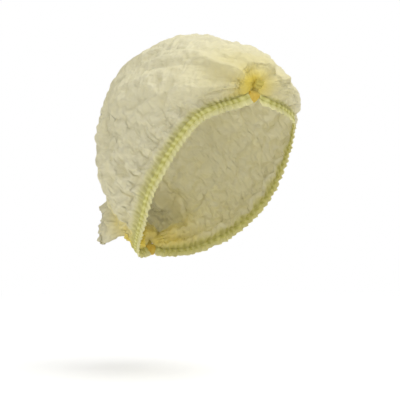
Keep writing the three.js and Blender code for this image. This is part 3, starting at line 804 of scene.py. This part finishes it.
class Nodes:
    """Short calls for a material's node tree."""

    def __init__(self, name):
        """A new material whose finish has the same name."""
        self.finish = FINISHES.get(name)
        self.material = bpy.data.materials.new(name)
        self.material.use_nodes = True
        self.tree = self.material.node_tree
        self.shader = self.tree.nodes["Principled BSDF"]
        self.output = self.tree.nodes["Material Output"]

    def add(self, kind, **settings):
        """New node with its settings."""
        node = self.tree.nodes.new(kind)
        for key, value in settings.items():
            setattr(node, key, value)
        return node

    def link(self, start, end):
        """Joins an output to an input."""
        self.tree.links.new(start, end)

    def attribute(self, name):
        """Value that the mesh holds under a name."""
        return self.add("ShaderNodeAttribute", attribute_name=name).outputs["Fac"]

    def noise(self, scale, detail=3.0, roughness=0.55):
        """Noise on Object coordinates, with about scale bumps a metre."""
        node = self.add("ShaderNodeTexNoise")
        node.inputs["Scale"].default_value = scale
        node.inputs["Detail"].default_value = detail
        node.inputs["Roughness"].default_value = roughness
        self.link(self.add("ShaderNodeTexCoord").outputs["Object"], node.inputs["Vector"])
        return node.outputs["Fac"]

    def creases(self, scale, wander):
        """Height of sharp creases round flat patches, about scale patches a metre, bent by a noise."""
        place = self.add("ShaderNodeTexCoord").outputs["Object"]
        bend = self.add("ShaderNodeTexNoise")
        bend.inputs["Scale"].default_value = scale * CREASE_BEND["scale"]
        bend.inputs["Detail"].default_value = CREASE_BEND["detail"]
        self.link(place, bend.inputs["Vector"])
        bent = self.add("ShaderNodeVectorMath", operation="MULTIPLY_ADD")
        bent.inputs[1].default_value = (wander / scale * CREASE_BEND["reach"],) * 3
        self.link(bend.outputs["Color"], bent.inputs[0])
        self.link(place, bent.inputs[2])
        cells = self.add("ShaderNodeTexVoronoi", feature="DISTANCE_TO_EDGE")
        cells.inputs["Scale"].default_value = scale
        flattened = self.add("ShaderNodeVectorMath", operation="MULTIPLY")
        flattened.inputs[1].default_value = CREASE_STRETCH
        self.link(bent.outputs[0], flattened.inputs[0])
        self.link(flattened.outputs[0], cells.inputs["Vector"])
        return cells.outputs["Distance"]

    def ramp(self, value, low, high, low_out=0.0, high_out=1.0):
        """Value brought from low..high to low_out..high_out and kept inside it."""
        node = self.add("ShaderNodeMapRange")
        for key, number in (("From Min", low), ("From Max", high), ("To Min", low_out), ("To Max", high_out)):
            node.inputs[key].default_value = number
        self.link(value, node.inputs["Value"])
        return node.outputs["Result"]

    def mottle(self, scale, detail, *levels):
        """Noise brought to the levels of a mottle."""
        return self.ramp(self.noise(scale, detail), *levels)

    def times(self, first, second):
        """Product of a value and a value or number."""
        node = self.add("ShaderNodeMath", operation="MULTIPLY")
        self.link(first, node.inputs[0])
        if isinstance(second, float):
            node.inputs[1].default_value = second
        else:
            self.link(second, node.inputs[1])
        return node.outputs[0]

    def blend(self, factor, first, second):
        """Colour between the first, at factor 0, and the second, at factor 1."""
        node = self.add("ShaderNodeMix", data_type="RGBA")
        for socket, value in ((node.inputs[MIX_FIRST], first), (node.inputs[MIX_SECOND], second)):
            if isinstance(value, tuple):
                socket.default_value = (*value, 1)
            else:
                self.link(value, socket)
        self.link(factor, node.inputs[0])
        return node.outputs[MIX_RESULT]

    def bump(self, height, distance, strength, normal=None):
        """Normal of a relief of the given depth in millimetres, over another normal if there is one."""
        node = self.add("ShaderNodeBump")
        node.inputs["Distance"].default_value = distance * MM
        node.inputs["Strength"].default_value = strength
        self.link(height, node.inputs["Height"])
        if normal is not None:
            self.link(normal, node.inputs["Normal"])
        return node.outputs["Normal"]

    def dull_sheet(self, color, normal=None):
        """Dull cloth in the material's finish: its grain over the normal, and a share of light let through."""
        finish = self.finish
        grain = self.noise(finish["grain"], roughness=finish["uneven"])
        normal = self.bump(grain, finish["depth"], finish["strength"], normal)
        self.shader.inputs["Roughness"].default_value = finish["roughness"]
        self.shader.inputs["Specular IOR Level"].default_value = SHEEN
        self.link(color, self.shader.inputs["Base Color"])
        self.link(normal, self.shader.inputs["Normal"])
        glow = self.add("ShaderNodeBsdfTranslucent")
        self.link(color, glow.inputs["Color"])
        self.link(normal, glow.inputs["Normal"])
        mix = self.add("ShaderNodeMixShader")
        mix.inputs[0].default_value = finish["through"]
        self.link(self.shader.outputs[0], mix.inputs[1])
        self.link(glow.outputs[0], mix.inputs[2])
        self.link(mix.outputs[0], self.output.inputs["Surface"])
        return self.material


def bond_dimples(nodes):
    """Height of the cloth's bond points: small round dimples in rows on the cloth's own map."""
    cells = nodes.add("ShaderNodeTexVoronoi", voronoi_dimensions="2D")
    cells.inputs["Scale"].default_value = 1 / (DIMPLES["pitch"] * MM)
    cells.inputs["Randomness"].default_value = DIMPLES["uneven"]
    nodes.link(nodes.add("ShaderNodeUVMap", uv_map="cloth").outputs["UV"], cells.inputs["Vector"])
    return nodes.ramp(cells.outputs["Distance"], DIMPLES["low"], DIMPLES["high"])


def crown_material():
    """Pale cream with faint clouds, lemon to yellow near the seals, yellow with painted shade in the gathers at
    the elastic, and olive painted shade in the troughs of their ribs.
    """
    nodes = Nodes("crown_cloth")

    def tinted(name, under, tint):
        """Colour with a share of a tint, or of painted shade, where the mesh asks for it."""
        return nodes.blend(nodes.times(nodes.attribute(name), CROWN_TINTS[name]), under, tint)

    color = nodes.blend(nodes.mottle(*MOTTLES["clouds"]), PALE, CREAM)
    color = tinted("seal_tint", color, LEMON)
    yellow = nodes.times(nodes.attribute("seal"), nodes.mottle(*MOTTLES["patches"]))
    color = nodes.blend(nodes.ramp(yellow, *YELLOW_RANGE), color, YELLOW)
    # Yellow of the gathers' many layers, with painted shade
    color = tinted("elastic", color, ELASTIC_YELLOW_AND_SHADE)
    # Painted shade in the troughs of the ribs
    color = tinted("trough_shade", color, TROUGH_SHADE_OLIVE)
    normal = None
    for scale, wander, depth, strength in CROWN_CREASES:
        normal = nodes.bump(nodes.creases(scale, wander), depth, strength, normal)
    normal = nodes.bump(bond_dimples(nodes), DIMPLES["depth"], DIMPLES["strength"], normal)
    return nodes.dull_sheet(color, normal)


def band_material():
    """Olive painted shade in the troughs of the ribs, and yellow with some painted shade on their crests."""
    nodes = Nodes("elastic_band")
    # Painted shade: olive in the ribs' troughs, yellow on their crests
    crest = nodes.ramp(nodes.attribute("rib"), *RIB_SHADE_RANGE)
    return nodes.dull_sheet(nodes.blend(crest, TROUGH_SHADE_OLIVE, ELASTIC_YELLOW_AND_SHADE))


def frill_material():
    """The elastic's yellow with its painted shade beside the elastic, paler towards the free edge."""
    nodes = Nodes("frill_cloth")
    free_edge = nodes.ramp(nodes.attribute("width"), *HEM_RANGE)
    return nodes.dull_sheet(nodes.blend(free_edge, ELASTIC_YELLOW_AND_SHADE, HEM))


def seal_material():
    """Amber tip and olive gold stub of welded cloth, with a brown neck."""
    nodes = Nodes("welded_seal")
    color = nodes.blend(nodes.mottle(*MOTTLES["seal"]), TIP_AMBER, YELLOW)
    color = nodes.blend(nodes.attribute("stub"), color, STUB_GOLD)
    color = nodes.blend(nodes.times(nodes.attribute("neck"), NECK_SHARE), color, NECK_BROWN)
    return nodes.dull_sheet(color)


def make_camera():
    """Camera at the photograph's angle: round from the front towards the right side, and level."""
    azimuth = np.radians(CAMERA["azimuth"])
    back = Vector((np.sin(azimuth), -np.cos(azimuth), 0))
    data = bpy.data.cameras.new("camera")
    data.sensor_width = CAMERA["sensor"]
    data.lens = CAMERA["lens"]
    obj = bpy.data.objects.new("camera", data)
    obj.location = Vector(CAMERA["target"]) + back * CAMERA["distance"]
    obj.rotation_euler = back.to_track_quat("Z", "Y").to_euler()
    bpy.context.scene.collection.objects.link(obj)
    bpy.context.scene.camera = obj


def make_light(name, place, size, power):
    """Round soft light that looks at the origin."""
    data = bpy.data.lights.new(name, "AREA")
    data.shape = "DISK"
    data.size = size
    data.energy = power
    obj = bpy.data.objects.new(name, data)
    obj.location = place
    obj.rotation_euler = Vector(place).to_track_quat("Z", "Y").to_euler()
    bpy.context.scene.collection.objects.link(obj)


def make_studio():
    """White surroundings, dimmer as light than as background, and two soft lights."""
    world = bpy.data.worlds.new("studio")
    bpy.context.scene.world = world
    world.use_nodes = True
    nodes, links = world.node_tree.nodes, world.node_tree.links
    lighting, backdrop = nodes["Background"], nodes.new("ShaderNodeBackground")
    for background, strength in ((lighting, SURROUNDINGS), (backdrop, 1.0)):
        background.inputs["Color"].default_value = (*WHITE, 1)
        background.inputs["Strength"].default_value = strength
    mix = nodes.new("ShaderNodeMixShader")
    links.new(nodes.new("ShaderNodeLightPath").outputs["Is Camera Ray"], mix.inputs[0])
    links.new(lighting.outputs[0], mix.inputs[1])
    links.new(backdrop.outputs[0], mix.inputs[2])
    links.new(mix.outputs[0], nodes["World Output"].inputs["Surface"])
    make_light("key", **KEY_LIGHT)
    make_light("fill", **FILL_LIGHT)
    bpy.context.scene.view_settings.view_transform = "Standard"


def floor_material():
    """Pale grey under the cap that fades to white with distance."""
    nodes = Nodes("floor")
    nodes.shader.inputs["Base Color"].default_value = (*FLOOR_GREY, 1)
    nodes.shader.inputs["Roughness"].default_value = FLOOR_LOOK["roughness"]
    nodes.shader.inputs["Emission Color"].default_value = (*WHITE, 1)
    nodes.shader.inputs["Emission Strength"].default_value = FLOOR_LOOK["glow"]
    spread = nodes.add("ShaderNodeMapping")
    spread.inputs["Scale"].default_value = (FLOOR_LOOK["spread"], FLOOR_LOOK["spread"], 0)
    near = nodes.add("ShaderNodeTexGradient", gradient_type="SPHERICAL")
    mix = nodes.add("ShaderNodeMixShader")
    nodes.link(nodes.add("ShaderNodeTexCoord").outputs["Object"], spread.inputs["Vector"])
    nodes.link(spread.outputs["Vector"], near.inputs["Vector"])
    nodes.link(nodes.ramp(near.outputs["Fac"], 0.0, FLOOR_LOOK["fade"]), mix.inputs[0])
    nodes.link(nodes.add("ShaderNodeEmission").outputs[0], mix.inputs[1])
    nodes.link(nodes.shader.outputs[0], mix.inputs[2])
    nodes.link(mix.outputs[0], nodes.output.inputs["Surface"])
    return nodes.material


def make_floor():
    """Pale round floor under the cap, which is held up."""
    turn = np.linspace(0, 2 * np.pi, FLOOR_CORNERS, endpoint=False)
    height = np.full(FLOOR_CORNERS, FLOOR_HEIGHT)
    ring = np.stack([FLOOR_RADIUS * np.cos(turn), FLOOR_RADIUS * np.sin(turn), height], axis=-1)
    mesh = bpy.data.meshes.new("floor")
    mesh.from_pydata(ring.tolist(), [], [list(range(FLOOR_CORNERS))])
    mesh.materials.append(floor_material())
    obj = bpy.data.objects.new("floor", mesh)
    bpy.context.scene.collection.objects.link(obj)


def put_in_place(piece, material, node):
    """Gives a piece its material and lets it stand for its solid."""
    piece.data.materials.append(material)
    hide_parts(node)
    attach(piece, "root")
    return piece


make_camera()
make_studio()
make_floor()

crown = put_in_place(make_crown(), crown_material(), "crown")
band_look, frill_look, seal_look = band_material(), frill_material(), seal_material()
for side, side_name in ((-1, "right"), (1, "left")):
    band = make_band(side, side_name + "_elastic")
    frill = make_frill(side, side_name + "_ruffle")
    put_in_place(band, band_look, side_name + "_elastic_band")
    put_in_place(frill, frill_look, side_name + "_frill")
for end, lean, tilt, end_name in ((-1, FRONT_LEAN, FRONT_TILT, "front"), (1, BACK_LEAN, 0, "back")):
    stack = make_seal(end, lean, tilt, end_name + "_pleat_stack")
    put_in_place(stack, seal_look, end_name + "_seal")
